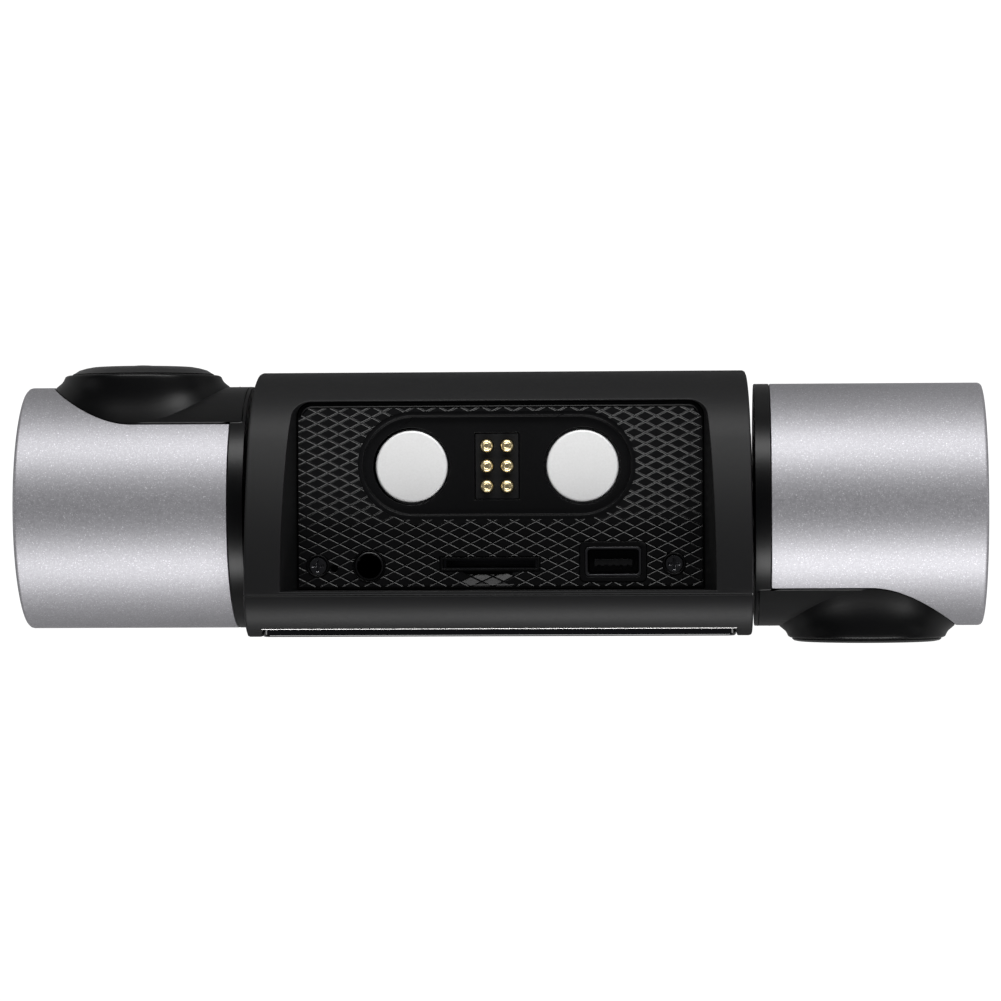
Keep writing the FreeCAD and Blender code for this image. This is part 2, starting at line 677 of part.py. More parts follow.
def main():
    os.makedirs("parts", exist_ok=True)
    pieces = {"main_housing": main_housing(), "rear_cover": rear_cover(),
              "screen_glass": screen_glass(), "lcd_module": lcd_module(),
              "mount_panel": mount_panel(), "panel_screws": panel_screws(),
              "cover_screws": cover_screws(), "magnets": magnets(),
              "keeper_plate": keeper_plate(), "pin_block": pin_block(),
              "av_jack": av_jack(), "card_socket": card_socket(), "usb_shell": usb_shell(),
              "usb_tongue": usb_tongue(), "main_board": main_board(),
              "board_chips": board_chips(), "heat_spreader": heat_spreader(),
              "battery": battery(), "speaker": speaker(), "microphone": microphone(),
              "reset_switch": reset_switch(), "reset_plunger": reset_plunger(),
              "key_switches": key_switches(), "key_board": key_board(),
              "pivot_bushes": pivot_bushes(), "friction_washers": friction_washers(),
              "right_ir_leds": ir_leds()}
    for number, (x, y) in enumerate(contact_places(), 1):
        pieces["pogo_pin_%d" % number] = pogo_pin(x, y)
    for number, x in enumerate(KEY_AT, 1):
        pieces["key_%d" % number] = key(x)
    for side in ("left", "right"):
        pieces.update(drum_pieces(side))
    for name, shape in pieces.items():
        write(name, shape)
    print(len(pieces), "nodes")


main()
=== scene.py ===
"""Looks of a bar-shaped dash camera with a turning camera drum at each end."""

import json
import math

import bpy
from mathutils import Matrix, Vector


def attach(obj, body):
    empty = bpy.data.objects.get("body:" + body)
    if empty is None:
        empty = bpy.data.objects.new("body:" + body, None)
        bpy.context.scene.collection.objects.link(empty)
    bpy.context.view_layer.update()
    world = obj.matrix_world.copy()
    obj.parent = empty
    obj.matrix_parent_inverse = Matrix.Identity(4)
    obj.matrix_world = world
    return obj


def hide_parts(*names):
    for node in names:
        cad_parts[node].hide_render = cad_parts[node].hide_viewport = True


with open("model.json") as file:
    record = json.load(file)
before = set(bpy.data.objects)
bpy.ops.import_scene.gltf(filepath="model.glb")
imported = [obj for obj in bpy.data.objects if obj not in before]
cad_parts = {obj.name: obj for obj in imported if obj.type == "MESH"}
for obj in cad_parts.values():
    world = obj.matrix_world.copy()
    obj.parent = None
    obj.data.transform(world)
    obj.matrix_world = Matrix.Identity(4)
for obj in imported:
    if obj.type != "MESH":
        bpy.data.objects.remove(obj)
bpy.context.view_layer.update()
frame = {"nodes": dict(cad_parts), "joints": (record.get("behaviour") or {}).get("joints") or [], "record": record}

MM = 0.001

# The drums' common axis, from the joints; pieces are drawn in millimetres about it
AXIS = Vector(next(j["pos_m"] for j in frame["joints"] if j["name"] == "left_drum_turn"))
AXIS.x = 0.0


# ---- materials ------------------------------------------------------------------------------

class Value:
    """A socket whose arithmetic adds Math nodes."""

    def __init__(self, graph, socket):
        self.graph = graph
        self.socket = socket

    def _math(self, operation, *terms):
        return self.graph.add("ShaderNodeMath", {"operation": operation}, dict(enumerate(terms)))

    def __add__(self, other):
        return self._math("ADD", self, other)

    __radd__ = __add__

    def __sub__(self, other):
        return self._math("SUBTRACT", self, other)

    def __rsub__(self, other):
        return self._math("SUBTRACT", other, self)

    def __mul__(self, other):
        return self._math("MULTIPLY", self, other)

    __rmul__ = __mul__

    def clamp(self):
        return self.graph.add("ShaderNodeClamp", {}, {0: self})


class Graph:
    """The nodes of one material or of the world."""

    def __init__(self, tree):
        self.tree = tree
        tree.nodes.clear()

    def add(self, kind, settings, inputs, output=0):
        node = self.tree.nodes.new(kind)
        for name, value in settings.items():
            setattr(node, name, value)
        for name, value in inputs.items():
            if isinstance(value, Value):
                self.tree.links.new(value.socket, node.inputs[name])
            else:
                node.inputs[name].default_value = value
        return Value(self, node.outputs[output]) if len(node.outputs) else node

    def place(self):
        """Object coordinates."""
        return self.add("ShaderNodeTexCoord", {}, {}, "Object")

    def noise(self, scale, detail, roughness=0.5):
        return self.add("ShaderNodeTexNoise", {},
                        {"Vector": self.place(), "Scale": scale, "Detail": detail,
                         "Roughness": roughness})

    def blend(self, amount, first, second):
        """Colour between first and second."""
        node = self.tree.nodes.new("ShaderNodeMix")
        node.data_type = "RGBA"
        for index, value in ((0, amount), (6, first), (7, second)):
            if isinstance(value, Value):
                self.tree.links.new(value.socket, node.inputs[index])
            else:
                node.inputs[index].default_value = value if index == 0 else (*value[:3], 1.0)
        return Value(self, node.outputs[2])

    def bump(self, height, strength, distance):
        return self.add("ShaderNodeBump", {},
                        {"Height": height, "Strength": strength, "Distance": distance})

    def surface(self, **inputs):
        """Principled shader to the output; keyword names use _ for spaces."""
        shader = self.add("ShaderNodeBsdfPrincipled", {},
                          {name.replace("_", " "): value for name, value in inputs.items()})
        self.add("ShaderNodeOutputMaterial", {}, {"Surface": shader})


def material(name):
    made = bpy.data.materials.new(name)
    made.use_nodes = True
    return made, Graph(made.node_tree)


def rgb(r, g, b):
    return (r, g, b, 1.0)


def spark_eroded_black(name, tone, roughness, shine, grain=2600.0):
    """Moulded plastic with the fine matt grain of a spark-eroded tool."""
    made, g = material(name)
    grains = g.noise(grain, 3.0, 0.6)
    drift = g.noise(60.0, 2.0)
    colour = g.blend(drift, rgb(tone * 0.8, tone * 0.8, tone * 0.95),
                     rgb(tone * 1.2, tone * 1.2, tone * 1.45))
    g.surface(Base_Color=colour, Roughness=roughness + (drift - 0.5) * 0.06 + (grains - 0.5) * 0.08,
              Normal=g.bump(grains, 0.4, 0.000012), Specular_IOR_Level=shine)
    return made


def blasted_aluminium():
    """Bead-blasted, clear-anodised aluminium."""
    made, g = material("blasted_aluminium")
    grains = g.noise(3000.0, 2.0, 0.7)
    flecks = g.noise(7000.0, 1.0)
    drift = g.noise(35.0, 2.0)
    colour = g.blend(grains, rgb(0.33, 0.325, 0.345), rgb(0.52, 0.515, 0.54))
    colour = g.blend(((flecks - 0.6) * 5.0).clamp(), colour, rgb(0.8, 0.8, 0.83))
    g.surface(Base_Color=colour, Metallic=1.0, Roughness=0.575 + (drift - 0.5) * 0.05 + (grains - 0.5) * 0.1,
              Normal=g.bump(grains, 0.35, 0.00002))
    return made


def metal(name, colour, roughness, grain=1500.0):
    made, g = material(name)
    grains = g.noise(grain, 2.0)
    shade = g.blend(grains, rgb(*(c * 0.95 for c in colour)), rgb(*(min(1.0, c * 1.04) for c in colour)))
    g.surface(Base_Color=shade, Metallic=1.0, Roughness=roughness + (grains - 0.5) * 0.06)
    return made


def gloss(name, colour, roughness, coat=0.0):
    made, g = material(name)
    drift = g.noise(90.0, 2.0)
    shade = g.blend(drift, rgb(*(c * 0.9 for c in colour)), rgb(*(c * 1.1 for c in colour)))
    g.surface(Base_Color=shade, Roughness=roughness + (drift - 0.5) * 0.03, Coat_Weight=coat)
    return made


BODY_BLACK = spark_eroded_black("body_black", 0.0022, 0.52, 0.34)
RING_BLACK = spark_eroded_black("ring_black", 0.0012, 0.33, 0.26, 3400.0)
PANEL_BLACK = spark_eroded_black("panel_black", 0.0018, 0.36, 0.42)
SILVER = blasted_aluminium()
NICKEL = metal("nickel_plate", (0.97, 0.97, 0.965), 0.70, 4000.0)
GOLD = metal("gold_plate", (0.98, 0.80, 0.46), 0.36)
STEEL = metal("bright_steel", (0.62, 0.61, 0.60), 0.28)
# Steel darkened far below its own tone: painted shade for the card socket and the USB rim inside their openings.
PAINTED_SHADE_STEEL = metal("steel_painted_shade", (0.20, 0.20, 0.21), 0.3)
SCREW_BLACK = metal("black_zinc", (0.22, 0.22, 0.23), 0.26)
GLASS_BLACK = gloss("black_glass", (0.004, 0.004, 0.005), 0.05, 1.0)
LENS_GLASS = gloss("coated_lens", (0.008, 0.010, 0.018), 0.03, 1.0)
LENS_BLACK = gloss("lens_black", (0.006, 0.006, 0.0065), 0.3)
PART_BLACK = gloss("connector_black", (0.006, 0.006, 0.0065), 0.4)
BOARD_GREEN = gloss("solder_resist", (0.02, 0.10, 0.05), 0.35)
BUSH_WHITE = gloss("acetal", (0.7, 0.7, 0.68), 0.4)

FINISH = {"body_black": BODY_BLACK, "panel_black": PANEL_BLACK, "drum_silver": SILVER,
          "screen_glass": GLASS_BLACK, "lens_glass": LENS_GLASS, "magnet_nickel": NICKEL,
          "contact_gold": GOLD, "steel": STEEL, "screw_black": SCREW_BLACK,
          "connector_black": PART_BLACK, "board_green": BOARD_GREEN, "chip_black": PART_BLACK,
          "cell_silver": STEEL, "display_dark": GLASS_BLACK, "lens_black": LENS_BLACK,
          "lead_black": PART_BLACK, "bush_white": BUSH_WHITE}

for part in frame["record"]["subparts"]:
    node = frame["nodes"][part["node"]]
    node.data.materials.clear()
    node.data.materials.append(FINISH[part["material_slot"]])
# The card socket gets the darkened steel: painted shade in the card slot.
frame["nodes"]["card_socket"].data.materials[0] = PAINTED_SHADE_STEEL


# ---- modelling in millimetres about the drums' axis ------------------------------------------

MERGE = 1e-3                # points nearer than this become one


def primitive(kind, **settings):
    bpy.ops.object.select_all(action="DESELECT")
    getattr(bpy.ops.mesh, "primitive_%s_add" % kind)(**settings)
    bpy.ops.object.transform_apply(location=True, rotation=True, scale=True)
    return bpy.context.object


def activate(piece):
    bpy.ops.object.select_all(action="DESELECT")
    piece.select_set(True)
    bpy.context.view_layer.objects.active = piece


def choose(piece, test):
    """Edit mode, with the vertices that pass the test selected."""
    activate(piece)
    bpy.ops.object.mode_set(mode="EDIT")
    bpy.ops.mesh.select_mode(type="VERT")
    bpy.ops.mesh.select_all(action="DESELECT")
    bpy.ops.object.mode_set(mode="OBJECT")
    for vertex in piece.data.vertices:
        vertex.select = bool(test(vertex.co))
    bpy.ops.object.mode_set(mode="EDIT")


def choose_edges(piece, test):
    """Edit mode, with the edges selected whose two ends pass the test together."""
    activate(piece)
    bpy.ops.object.mode_set(mode="EDIT")
    bpy.ops.mesh.select_mode(type="EDGE")
    bpy.ops.mesh.select_all(action="DESELECT")
    bpy.ops.object.mode_set(mode="OBJECT")
    points = [v.co for v in piece.data.vertices]
    for edge in piece.data.edges:
        a, b = (points[i] for i in edge.vertices)
        edge.select = bool(test(a, b))
    bpy.ops.object.mode_set(mode="EDIT")


def leave():
    bpy.ops.object.mode_set(mode="OBJECT")


def round_edges(piece, width, segments, test):
    choose_edges(piece, test)
    bpy.ops.mesh.bevel(offset=width, segments=segments, affect="EDGES")
    leave()


def upright(a, b):
    """Whether an edge of a block stands on end."""
    return abs(a.z - b.z) > 0.1


def level_with(z):
    """Test for the edges that lie at height z."""
    return lambda a, b: abs(a.z - z) < 0.01 and abs(b.z - z) < 0.01


def block(x0, x1, y0, y1, z0, z1):
    return primitive("cube", size=1, location=((x0 + x1) / 2, (y0 + y1) / 2, (z0 + z1) / 2),
                     scale=(x1 - x0, y1 - y0, z1 - z0))


def rod(axis, radius, start, end, across, vertices=96):
    """Cylinder along an axis from start to end; across is its place in the other two directions."""
    middle = (start + end) / 2
    place = {"X": (middle, *across), "Y": (across[0], middle, across[1]), "Z": (*across, middle)}[axis]
    turn = {"X": (0, math.pi / 2, 0), "Y": (math.pi / 2, 0, 0), "Z": (0, 0, 0)}[axis]
    return primitive("cylinder", vertices=vertices, radius=radius, depth=end - start,
                     location=place, rotation=turn)


def combine(piece, tool, operation="DIFFERENCE"):
    activate(piece)
    bpy.ops.object.modifier_add(type="BOOLEAN")
    step = piece.modifiers[-1]
    step.operation = operation
    step.solver = "EXACT"
    step.object = tool
    bpy.ops.object.modifier_apply(modifier=step.name)
    bpy.data.objects.remove(tool)
    return piece


def carve(piece, *tools):
    for tool in tools:
        combine(piece, tool)
    return piece


def add(piece, *others):
    for other in others:
        combine(piece, other, "UNION")
    return piece


def keep_within(piece, tool):
    return combine(piece, tool, "INTERSECT")


def soften(piece, width, segments, angle=35.0):
    """Round the edges sharper than angle."""
    activate(piece)
    bpy.ops.object.modifier_add(type="BEVEL")
    step = piece.modifiers[-1]
    step.width = width
    step.segments = segments
    step.limit_method = "ANGLE"
    step.angle_limit = math.radians(angle)
    step.use_clamp_overlap = False
    bpy.ops.object.modifier_apply(modifier=step.name)
    return piece


def join(pieces):
    activate(pieces[0])
    for piece in pieces:
        piece.select_set(True)
    bpy.ops.object.join()
    return bpy.context.object


def copy(piece):
    """A copy with its own mesh."""
    activate(piece)
    bpy.ops.object.duplicate()
    return bpy.context.object


def turn_round(piece):
    """Half a turn about the upright, to the other end of the bar."""
    activate(piece)
    piece.rotation_euler.z = math.pi
    bpy.ops.object.transform_apply(rotation=True)
    return piece


def face_outward(piece):
    choose(piece, lambda co: True)
    bpy.ops.mesh.normals_make_consistent(inside=False)
    leave()
    points = [v.co for v in piece.data.vertices]
    middle = sum(points, Vector()) / len(points)
    if sum((f.center - middle).dot(f.normal) * f.area for f in piece.data.polygons) < 0:
        choose(piece, lambda co: True)
        bpy.ops.mesh.flip_normals()
        leave()


def trim(piece, point, normal):
    """Cut off what lies beyond the plane and close the cut."""
    choose(piece, lambda co: True)
    bpy.ops.mesh.bisect(plane_co=point, plane_no=Vector(normal).normalized(), use_fill=True,
                        clear_outer=True, threshold=1e-4)
    leave()


def chain(start, moves, half_length):
    """Edge along X drawn through moves: (dy, dz) straight or (centre_y, centre_z, degrees, steps) round."""
    piece = primitive("plane", size=2 * half_length, location=(0, start[0] + half_length, start[1]))
    choose(piece, lambda co: co.y > start[0] + half_length)
    bpy.ops.mesh.delete(type="VERT")
    bpy.ops.mesh.select_all(action="SELECT")
    for move in moves:
        if len(move) == 2:
            bpy.ops.mesh.extrude_region_move(TRANSFORM_OT_translate={"value": (0, *move)})
        else:
            centre_y, centre_z, degrees, steps = move
            bpy.ops.mesh.spin(steps=steps, dupli=False, angle=math.radians(degrees),
                              center=(0, centre_y, centre_z), axis=(-1, 0, 0))
    bpy.ops.mesh.select_all(action="SELECT")
    bpy.ops.mesh.remove_doubles(threshold=MERGE)
    leave()
    return piece


def turned(points, x):
    """Closed profile of (radius, forward) points turned about the line y through x, forward being -Y."""
    first = points[0]
    piece = primitive("plane", size=1.0, location=(x + first[0] + 0.5, -first[1] + 0.5, 0))
    choose(piece, lambda co: co.x > x + first[0] + 0.1 or co.y > -first[1] + 0.1)
    bpy.ops.mesh.delete(type="VERT")
    bpy.ops.mesh.select_all(action="SELECT")
    for here, after in zip(points, points[1:] + points[:1]):
        bpy.ops.mesh.extrude_region_move(
            TRANSFORM_OT_translate={"value": (after[0] - here[0], here[1] - after[1], 0)})
    bpy.ops.mesh.select_all(action="SELECT")
    bpy.ops.mesh.remove_doubles(threshold=MERGE)
    bpy.ops.mesh.spin(steps=96, dupli=False, angle=2 * math.pi, center=(x, 0, 0), axis=(0, 1, 0))
    bpy.ops.mesh.select_all(action="SELECT")
    bpy.ops.mesh.remove_doubles(threshold=MERGE)
    leave()
    return piece


def settle(piece, name, body, finish, nodes=(), smooth=32.0):
    """Clean the mesh, bring it to its real place and size, and hang it on its body."""
    choose(piece, lambda co: True)
    bpy.ops.mesh.remove_doubles(threshold=5e-4)
    leave()
    face_outward(piece)
    piece.name = name
    piece.data.name = name
    piece.scale = (MM, MM, MM)
    piece.location = AXIS
    bpy.ops.object.transform_apply(location=True, rotation=True, scale=True)
    bpy.ops.object.shade_smooth_by_angle(angle=math.radians(smooth))
    bpy.ops.object.modifier_add(type="WEIGHTED_NORMAL")
    step = piece.modifiers[-1]
    step.keep_sharp = True
    bpy.ops.object.modifier_apply(modifier=step.name)
    piece.data.materials.clear()
    piece.data.materials.append(finish)
    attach(piece, body)
    if nodes:
        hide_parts(*nodes)
    return piece


# ---- middle body ----------------------------------------------------------------------------

TOP_Z, BOTTOM_Z = 17.7, -16.5
SEAM_Y, REAR_Y = -10.95, -16.1
CROWN_R, NOSE_R, CHIN_R, REAR_R = 51.4, 14.0, 13.0, 5.7
CROWN_DEGREES = 22
CROWN_Z = TOP_Z - CROWN_R
NOSE_Y = SEAM_Y + (CROWN_R - NOSE_R) * math.sin(math.radians(CROWN_DEGREES))
NOSE_Z = CROWN_Z + (CROWN_R - NOSE_R) * math.cos(math.radians(CROWN_DEGREES))
CHIN_Y = NOSE_Y + NOSE_R - CHIN_R
WALL = 1.8
INNER_X = 28.6              # inside face of the end walls
END_POINT = (31.45, 0, TOP_Z)
END_NORMAL = (34.2, 0, -1.55)
FLOOR_Z = 10.2
FLOOR_X, FLOOR_FRONT, FLOOR_REAR = 25.5, 13.1, -10.45


def body_bar(inset, ends):
    """Bar with the section of the whole body, shrunk by inset; ends is the half length or None."""
    radius = REAR_R - inset
    reach = math.degrees(math.asin(min(1.0, (SEAM_Y - REAR_Y - inset) / radius)))
    flat = TOP_Z - BOTTOM_Z - 2 * REAR_R + 2 * radius * math.cos(math.radians(reach))
    front = [(SEAM_Y, CROWN_Z, -CROWN_DEGREES, 20), (NOSE_Y, NOSE_Z, CROWN_DEGREES - 90, 26),
             (0, BOTTOM_Z + CHIN_R - NOSE_Z), (CHIN_Y, BOTTOM_Z + CHIN_R, -90, 26)]
    back = [(SEAM_Y - CHIN_Y, 0), (SEAM_Y, BOTTOM_Z + REAR_R, -reach, 18), (0, flat),
            (SEAM_Y, TOP_Z - REAR_R, -reach, 18)]
    bar = chain((SEAM_Y, TOP_Z - inset), front + back, half_length=40.0)
    for side in (-1, 1):
        if ends is None:
            trim(bar, (side * END_POINT[0], 0, TOP_Z), (side * END_NORMAL[0], 0, END_NORMAL[2]))
        else:
            trim(bar, (side * ends, 0, 0), (side, 0, 0))
    face_outward(bar)
    return bar


def on_end(co):
    return abs(END_NORMAL[0] * (abs(co.x) - END_POINT[0]) + END_NORMAL[2] * (co.z - TOP_Z)) < 0.5


def on_front_skin(co):
    crown = abs(math.hypot(co.y - SEAM_Y, co.z - CROWN_Z) - CROWN_R) < 0.03
    nose = abs(math.hypot(co.y - NOSE_Y, co.z - NOSE_Z) - NOSE_R) < 0.03
    return (crown or nose) and co.z > 5


def on_recess_lip(co):
    return on_front_skin(co) and abs(co.x) < INNER_X - 0.1 and -10.6 < co.y < 15


def on_seam(co):
    return abs(co.y - SEAM_Y) < 0.02


def outer_bars():
    """The body's outside with rounded ends, parted at the seam: the front bar and the rear bar."""
    rear = body_bar(0.0, None)
    round_edges(rear, 0.4, 2, lambda a, b: on_end(a) and on_end(b) and a.x * b.x > 0)
    front = copy(rear)
    for bar, side in ((front, -1), (rear, 1)):
        trim(bar, (0, SEAM_Y, 0), (0, side, 0))
        choose(bar, on_seam)
        bpy.ops.mesh.remove_doubles(threshold=0.02)
        leave()
        face_outward(bar)
        round_edges(bar, 0.18, 2, lambda a, b: on_seam(a) and on_seam(b))
    return front, rear


def recess_tool():
    high = TOP_Z + 1.0
    tool = block(-FLOOR_X, FLOOR_X, FLOOR_REAR, FLOOR_FRONT, FLOOR_Z - 0.05, high)
    round_edges(tool, 2.0, 8, lambda a, b: upright(a, b) and a.y > 10)
    spread = (high - FLOOR_Z + 0.05) * math.tan(math.radians(10.5))
    length = FLOOR_FRONT - FLOOR_REAR
    choose(tool, lambda co: co.z > high - 0.1)
    bpy.ops.transform.resize(value=((FLOOR_X + spread) / FLOOR_X, (length + spread) / length, 1),
                             center_override=(0, FLOOR_REAR, high))
    leave()
    return tool


def stadium(length, width, z0, z1, x, y, vertices=96):
    half = (length - width) / 2
    bar = block(x - half, x + half, y - width / 2, y + width / 2, z0, z1)
    return add(bar, rod("Z", width / 2, z0, z1, (x - half, y), vertices),
               rod("Z", width / 2, z0, z1, (x + half, y), vertices))


KEY_X = (-18.0, -6.0, 6.0, 18.0)
KEY_Y = -4.5
SPEAKER_AT = (-22.3, 2.2)
MICROPHONE_AT = (25.0, 1.5)
THROUGH_BOTTOM = (BOTTOM_Z - 1, BOTTOM_Z + WALL + 0.2)


def housing_shell(shell):
    """Front shell with the bracket recess, pivot seats, and the holes of the underside."""
    carve(shell, body_bar(WALL, INNER_X))
    tub = keep_within(block(-27.0, 27.0, SEAM_Y + 0.15, 14.1, 6.6, 18.7), body_bar(WALL / 2, 30.0))
    add(shell, tub)
    carve(shell, recess_tool(), block(-FLOOR_X, FLOOR_X, FLOOR_REAR, FLOOR_FRONT, 7.8, FLOOR_Z),
          block(-21.3, 20.6, FLOOR_REAR + 0.3, 11.5, 5.6, FLOOR_Z))
    round_edges(shell, 0.16, 2, lambda a, b: on_recess_lip(a) and on_recess_lip(b))
    for side in (-1, 1):
        low, high = sorted((side * INNER_X, side * END_POINT[0]))
        add(shell, rod("X", 9.1, low, high, (0, 0)))
        low, high = sorted((side * 27.0, side * 32.0))
        carve(shell, rod("X", 6.0, low, high, (0, 0)))
    for x in KEY_X:
        carve(shell, block(x - 4.1, x + 4.1, KEY_Y - 1.6, KEY_Y + 1.6, *THROUGH_BOTTOM))
    for row in (-1.6, 0.0, 1.6):
        carve(shell, stadium(6.4, 0.8, *THROUGH_BOTTOM, SPEAKER_AT[0], SPEAKER_AT[1] + row, 24))
    carve(shell, rod("Z", 0.5, *THROUGH_BOTTOM, MICROPHONE_AT, 32))
    settle(shell, "housing_shell", "root", BODY_BLACK, ["main_housing"])


GLASS_X, GLASS_LOW, GLASS_HIGH = 29.3, -14.7, 15.9
BED_Y = REAR_Y + 1.1        # where the screen glass stops
TRIM = 0.2


def glass_plate(grow, y0, y1, corner):
    """Upright plate with the outline of the screen glass, grown all round."""
    plate = block(-GLASS_X - grow, GLASS_X + grow, y0, y1, GLASS_LOW - grow, GLASS_HIGH + grow)
    round_edges(plate, corner, 8, lambda a, b: abs(a.y - b.y) > 0.5)
    return plate


def on_bed_lip(co):
    near = co.y < REAR_Y + 2.2 and abs(co.x) < GLASS_X + 0.3 and -15 < co.z < 16.2
    return near and abs(co.y - BED_Y) > 0.01


def cover_shell(shell):
    carve(shell, body_bar(WALL, INNER_X), glass_plate(0.1, REAR_Y - 1, BED_Y, 1.25),
          block(-24.0, 24.0, REAR_Y, SEAM_Y, -12.4, 13.2))
    round_edges(shell, 0.2, 3,
                lambda a, b: on_bed_lip(a) and on_bed_lip(b) and abs(a.y - b.y) < 0.9)
    settle(shell, "cover_shell", "root", BODY_BLACK, ["rear_cover"])


def display_window():
    """Screen glass with a thin plated trim behind it."""
    glass = glass_plate(0, REAR_Y, BED_Y - TRIM, 1.2)
    round_edges(glass, 0.3, 4, lambda a, b: max(a.y, b.y) < REAR_Y + 0.01)
    x, low, high = GLASS_X + 0.08, GLASS_LOW - 0.08, GLASS_HIGH + 0.08
    plated = block(-x, x, BED_Y - TRIM, BED_Y, low, high)
    round_edges(plated, 0.1, 3, lambda a, b: max(a.y, b.y) < BED_Y - TRIM + 0.01)
    settle(plated, "window_trim", "root", STEEL)
    settle(glass, "display_window", "root", GLASS_BLACK, ["screen_glass"])


# ---- bracket recess -------------------------------------------------------------------------

BRACKET_X = -0.4
MAGNETS = (BRACKET_X - 10.7, BRACKET_X + 10.7)
MAGNET_R = 4.5
POCKET_L, POCKET_W, POCKET_Y = 34.3, 13.1, 5.1
CONTACT_Y = 5.0
PIN_PITCH = 2.54
SCREWS = ((-22.85, -7.4), (21.7, -7.3))
RESET_AT = (-20.8, -7.8)
JACK_AT = (-16.4, -7.45)
CARD_AT = (-1.3, -7.25)
USB_AT = (14.1, -7.0)
RELIEF_X, RELIEF_TILT = -1.6, 22.0
PAD_X, PAD_Y = 2.734, 1.3695
PAD_START = (-22.82 - 2 * PAD_X, 11.136 + 2 * PAD_Y)
PAD_COLUMNS, PAD_ROWS = 22, 21
PAD_RISE = 0.043
PAD_LOW = FLOOR_Z - 0.26
FIELD_X, FIELD_REAR, FIELD_FRONT = 25.2, -10.0, 12.3


def usb_frame(grow, z0, z1, corner):
    frame_block = block(USB_AT[0] - 3.55 - grow, USB_AT[0] + 3.55 + grow, USB_AT[1] - 1.9 - grow,
                        USB_AT[1] + 1.9 + grow, z0, z1)
    round_edges(frame_block, corner, 4, upright)
    return frame_block


def card_hole(grow, z0, z1):
    return block(CARD_AT[0] - 5.9 - grow, CARD_AT[0] + 5.9 + grow, CARD_AT[1] - 0.55 - grow,
                 CARD_AT[1] + 0.55 + grow, z0, z1)


def seat_panel():
    """Panel under the pads: ridge round its edge, pocket, and a rim at each opening."""
    low = FLOOR_Z - 2.4
    plate = block(-25.35, 25.35, -10.3, 12.95, low, PAD_LOW)
    round_edges(plate, 1.85, 8, lambda a, b: upright(a, b) and a.y > 10)
    choose(plate, lambda co: co.z > PAD_LOW - 0.01)
    bpy.ops.mesh.inset(thickness=0.3, depth=0)
    bpy.ops.mesh.inset(thickness=0.08, depth=0.24)
    bpy.ops.mesh.inset(thickness=0.14, depth=0)
    bpy.ops.mesh.inset(thickness=0.08, depth=-0.24)
    leave()
    high = FLOOR_Z + 1
    pocket = stadium(POCKET_L, POCKET_W, FLOOR_Z - 1.0, high, BRACKET_X, POCKET_Y)
    choose(pocket, lambda co: co.z < FLOOR_Z)
    bpy.ops.transform.resize(value=(1 - 0.9 / POCKET_L, 1 - 0.9 / POCKET_W, 1),
                             center_override=(BRACKET_X, POCKET_Y, FLOOR_Z - 1.0))
    leave()
    rim = stadium(POCKET_L + 0.3, POCKET_W + 0.3, PAD_LOW - 0.3, FLOOR_Z - 0.02, BRACKET_X, POCKET_Y)
    soften(rim, 0.08, 2, 60)
    carve(plate, block(RELIEF_X - 3.1, RELIEF_X + 3.1, -9.75, CARD_AT[1], FLOOR_Z - 0.9, high))
    add(plate, rim, rod("Z", 2.0, low, FLOOR_Z, JACK_AT), usb_frame(0.6, low, FLOOR_Z - 0.04, 0.7),
        card_hole(0.3, low, FLOOR_Z - 0.12))
    for x, y in SCREWS:
        add(plate, rod("Z", 1.4, low, FLOOR_Z - 0.02, (x, y), 64))
    carve(plate, pocket)
    for x in MAGNETS:
        carve(plate, rod("Z", MAGNET_R + 0.35, low - 1, high, (x, CONTACT_Y)))
    carve(plate, block(BRACKET_X - 2.8, BRACKET_X + 2.8, CONTACT_Y - 4.2, CONTACT_Y + 4.2, low - 1, high),
          rod("Z", 1.9, low - 1, high, JACK_AT), usb_frame(0.0, low - 1, high, 0.5),
          card_hole(0.0, low - 1, high), rod("Z", 0.4, low - 1, high, RESET_AT, 32))
    for x, y in SCREWS:
        carve(plate, rod("Z", 1.2, FLOOR_Z - 1.1, high, (x, y), 64),
              rod("Z", 0.75, low - 1, high, (x, y), 32))
    soften(plate, 0.07, 2, 50)
    settle(plate, "seat_panel", "root", PANEL_BLACK, ["mount_panel"])


